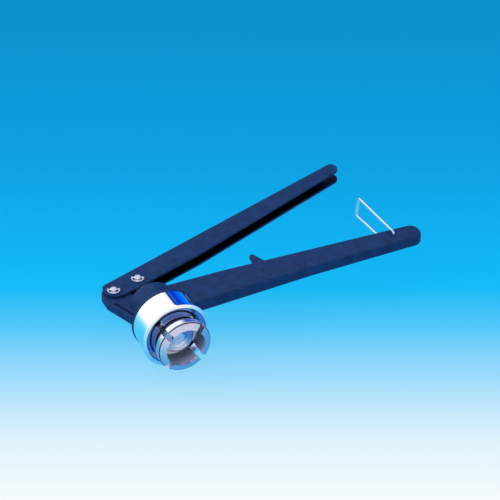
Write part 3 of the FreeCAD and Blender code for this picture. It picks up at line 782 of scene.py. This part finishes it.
class DECAPPER_OT_stage(bpy.types.Operator):
    """Sets the camera, the floor, the studio's surroundings and its soft lights"""

    bl_idname = "decapper.stage"
    bl_label = "Stage"

    def execute(self, context):
        settings = context.scene.decapper_stage
        scene = context.scene
        scene.view_settings.view_transform = "Standard"
        self.add_camera(scene, settings)
        self.add_floor(settings)
        self.fill_world(scene)
        self.add_lights()
        return {"FINISHED"}

    def add_camera(self, scene, settings):
        """The camera at the photograph's angle, far off with a long lens."""
        height = settings.camera_height
        turned_by = settings.camera_turn
        toward = Vector((
            math.sin(turned_by) * math.cos(height),
            -math.cos(turned_by) * math.cos(height),
            math.sin(height),
        ))
        deselect()
        bpy.ops.object.camera_add(
            location=Vector(settings.camera_target) + toward * settings.camera_distance,
            rotation=(math.pi / 2 - height, 0, turned_by))
        camera = bpy.context.object
        camera.name = "camera"
        camera.data.sensor_width = SENSOR_WIDTH
        camera.data.lens = SENSOR_WIDTH * settings.camera_distance / settings.frame_width
        camera.data.clip_end = 50
        scene.camera = camera

    def add_floor(self, settings):
        """A paper floor that runs from white in front to sky blue behind the tool, paler to mirrors."""
        deselect()
        level = TOOL_LOW.z
        bpy.ops.mesh.primitive_plane_add(size=8, location=(0, 0, level))
        floor = bpy.context.object
        floor.name = "floor"
        settle(floor)
        shader = shader_for("floor_paper")
        x, y, z = shader.axes(shader.place())
        turned_by = settings.camera_turn
        target = settings.camera_target
        ahead = (x - target[0]) * -math.sin(turned_by) + (y - target[1]) * math.cos(turned_by)
        low = (level - target[2]) * math.cos(settings.camera_height)
        row = 0.5 - (ahead * math.sin(settings.camera_height) + low) / settings.frame_width
        paper = shader.ramp(row, [
            (0, (13, 146, 206)), (0.3, (15, 161, 226)), (0.5, (18, 182, 247)), (0.58, (23, 190, 250)),
            (0.65, (80, 202, 252)), (0.75, (160, 223, 255)), (0.87, (227, 247, 255)), (1.0, (253, 255, 255)),
        ])
        mirrored = shader.ramp(row, [
            (0.0, (205, 250, 255)), (0.45, (185, 248, 255)), (0.58, (135, 234, 255)), (0.68, (80, 208, 255)),
            (0.75, (84, 186, 250)), (0.80, (130, 216, 254)), (0.87, (190, 236, 255)), (0.93, (250, 250, 255)),
        ])
        beside = shader.node("ShaderNodeMapRange", None, value=x, from_min=0.03, from_max=0.12)["Result"]
        mirrored = shader.blend(beside * (row < 0.42), mirrored, light_of((22, 140, 252)))
        path = shader.node("ShaderNodeLightPath")
        tint = shader.blend(path["Is Glossy Ray"], paper, mirrored)
        seen = seen_directly(shader)
        matt = shader.node("ShaderNodeBsdfDiffuse", None, color=paper)["BSDF"]
        glow = shader.node("ShaderNodeEmission", None, color=tint, strength=1.0)["Emission"]
        mixed = shader.node("ShaderNodeMixShader", None, seen * 0.9, matt, glow)["Shader"]
        shader.node("ShaderNodeOutputMaterial", None, mixed)
        wear(floor, shader.owner)

    def fill_world(self, scene):
        """Surroundings: an even pale light, and for mirrors a blue wall to the right and white to the left."""
        world = bpy.data.worlds.new("studio")
        scene.world = world
        shader = Shader(world)
        direction = shader.node("ShaderNodeTexCoord")["Generated"]
        x, y, z = shader.axes(direction)
        flat = shader.node("ShaderNodeCombineXYZ", None, x, z, 0.0)["Vector"]
        angle = shader.node("ShaderNodeTexGradient", {"gradient_type": "RADIAL"}, vector=flat)["Fac"]
        walls = [
            (-180, (240, 250, 255)), (-20, (30, 145, 245)), (-2, (20, 138, 255)), (10, (7, 113, 255)),
            (22, (3, 87, 247)), (34, (1, 55, 203)), (40, (2, 50, 190)), (46, (48, 108, 214)),
            (49.5, (22, 64, 168)), (57, (18, 58, 158)), (59, (252, 255, 255)), (178, (252, 255, 255)),
        ]
        mirror = shader.ramp(angle, [(0.5 + degrees / 360, colour) for degrees, colour in walls])
        ahead = shader.node("ShaderNodeMapRange", None, value=y, from_min=0.10, from_max=-0.05)["Result"]
        mirror = shader.blend(ahead, mirror, (1.08, 0.95, 1.02))
        path = shader.node("ShaderNodeLightPath")
        ambient = shader.background((0.80, 0.90, 1.0), 0.62)
        mirrored = shader.background(mirror, 1.0)
        seen = shader.background((0.006, 0.29, 0.63), 1.0)
        glossy = shader.node("ShaderNodeMixShader", None, path["Is Glossy Ray"], ambient, mirrored)["Shader"]
        whole = shader.node("ShaderNodeMixShader", None, path["Is Camera Ray"], glossy, seen)["Shader"]
        shader.node("ShaderNodeOutputWorld", None, whole)

    def add_lights(self):
        """A wide soft light behind the tool's left, and a weaker one in front."""
        lights = [
            ("back_light", (-0.55, 1.05, 0.85), 2.0, 1.5, 6.5, (1.0, 1.0, 1.0)),
            ("front_light", (-0.9, -1.2, 1.3), 1.2, 1.2, 2.2, (0.93, 0.95, 1.0)),
        ]
        middle = Vector((0.05, 0.04, 0))
        for name, at, width, height, power, colour in lights:
            deselect()
            aim = middle - Vector(at)
            bpy.ops.object.light_add(
                type="AREA", location=at, rotation=aim.to_track_quat("-Z", "Y").to_euler())
            lamp = bpy.context.object
            lamp.name = name
            lamp.data.shape = "RECTANGLE"
            lamp.data.size = width
            lamp.data.size_y = height
            lamp.data.energy = power
            lamp.data.color = colour


class DECAPPER_PT_pieces(bpy.types.Panel):
    """Lists the tool's pieces and their settings"""

    bl_label = "Vial decapper"
    bl_idname = "DECAPPER_PT_pieces"
    bl_space_type = "VIEW_3D"
    bl_region_type = "UI"
    bl_category = "Decapper"

    def draw(self, context):
        layout = self.layout
        for operator in OPERATORS:
            layout.operator(operator.bl_idname)
        for group in SETTINGS:
            box = layout.box()
            box.label(text=group.__doc__)
            for key in group.__annotations__:
                box.prop(getattr(context.scene, SETTINGS[group]), key)


SETTINGS = {
    CollarSizes: "decapper_collar",
    JawSizes: "decapper_jaws",
    PusherSizes: "decapper_pusher",
    FinishColours: "decapper_colours",
    StageSettings: "decapper_stage",
}
OPERATORS = (
    DECAPPER_OT_collar,
    DECAPPER_OT_jaws,
    DECAPPER_OT_pusher,
    DECAPPER_OT_finishes,
    DECAPPER_OT_stage,
)


def register():
    for group, name in SETTINGS.items():
        bpy.utils.register_class(group)
        setattr(bpy.types.Scene, name, bpy.props.PointerProperty(type=group))
    for operator in OPERATORS:
        bpy.utils.register_class(operator)
    bpy.utils.register_class(DECAPPER_PT_pieces)


def unregister():
    bpy.utils.unregister_class(DECAPPER_PT_pieces)
    for operator in reversed(OPERATORS):
        bpy.utils.unregister_class(operator)
    for group, name in SETTINGS.items():
        delattr(bpy.types.Scene, name)
        bpy.utils.unregister_class(group)


def main():
    """Makes the pieces in order."""
    register()
    bpy.ops.decapper.stage()
    bpy.ops.decapper.finishes()
    bpy.ops.decapper.collar()
    bpy.ops.decapper.jaws()
    bpy.ops.decapper.pusher()


if __name__ == "__main__":
    main()
